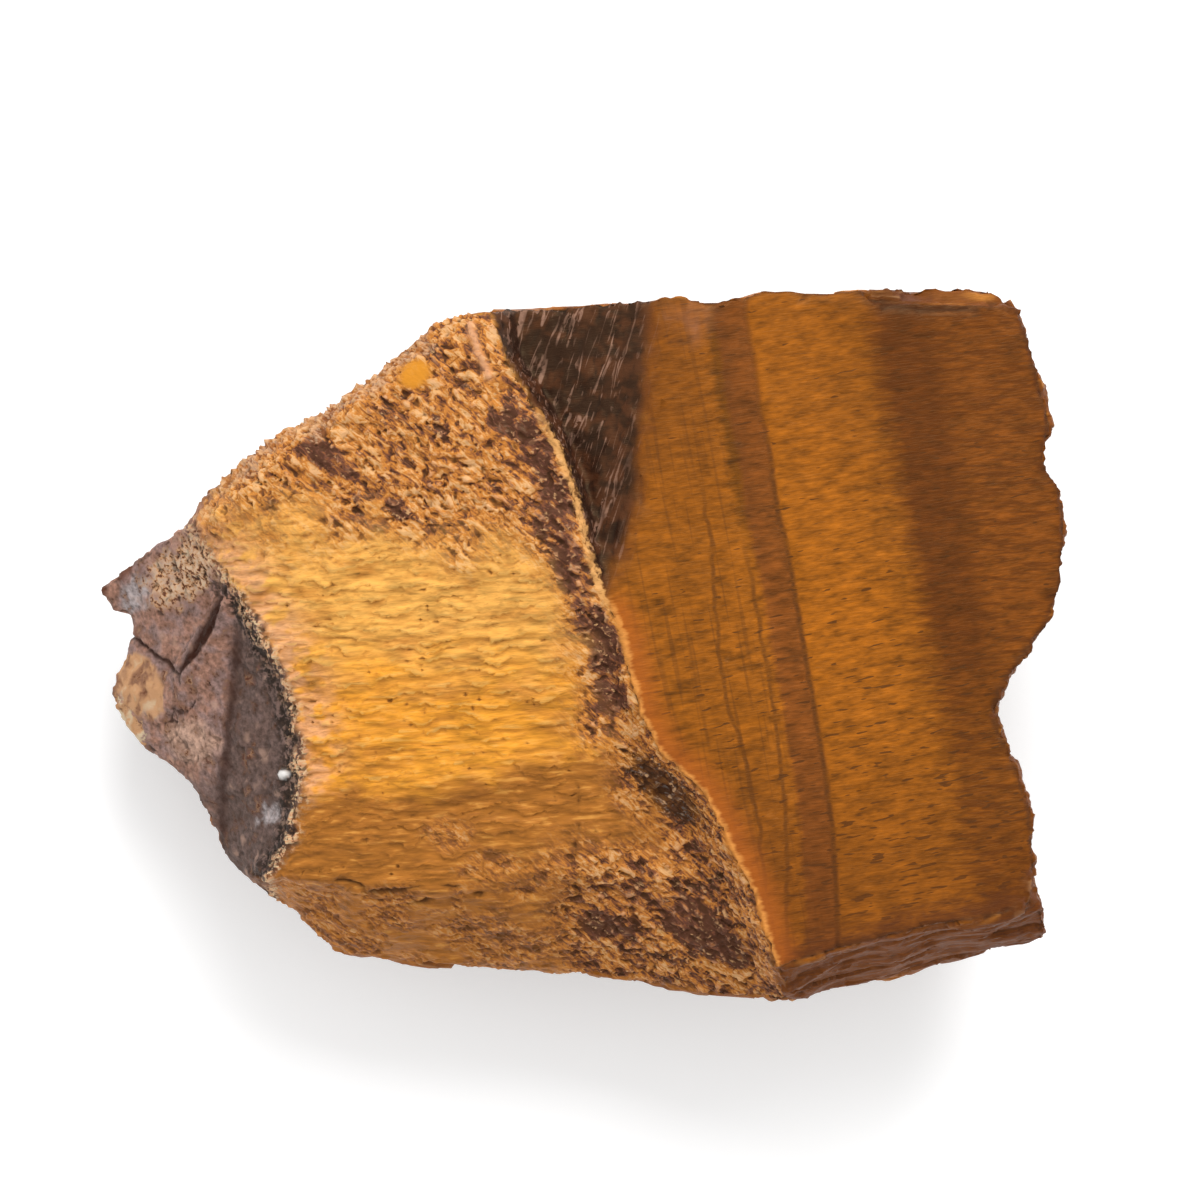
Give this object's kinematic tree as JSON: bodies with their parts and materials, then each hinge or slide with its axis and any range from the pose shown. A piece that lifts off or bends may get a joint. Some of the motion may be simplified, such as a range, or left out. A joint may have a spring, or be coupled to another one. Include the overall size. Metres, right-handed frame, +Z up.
{
  "type": "rough tiger's eye stone",
  "caption": "Broken lump of rough tiger's eye with a smooth banded face, a rough golden fibrous face, a jagged ridge between them and an ironstone crust at one end.",
  "frame": {"origin": "middle of the plan, on the flat underside that the stone rests on", "axes": "+X along the fibres, from the ironstone crust at the left end to the scalloped right end; +Y towards the back edge; +Z up, out of the two big fracture faces"},
  "size_m": [0.092, 0.0678, 0.0353],
  "materials": {
    "tigers_eye": "silky fibrous quartz in golden-brown bands, rough where broken across, with a dull grey-purple ironstone crust at one end"
  },
  "bodies": {
    "root": {"tigers_eye_stone": "tigers_eye"}
  },
  "joints": []
}
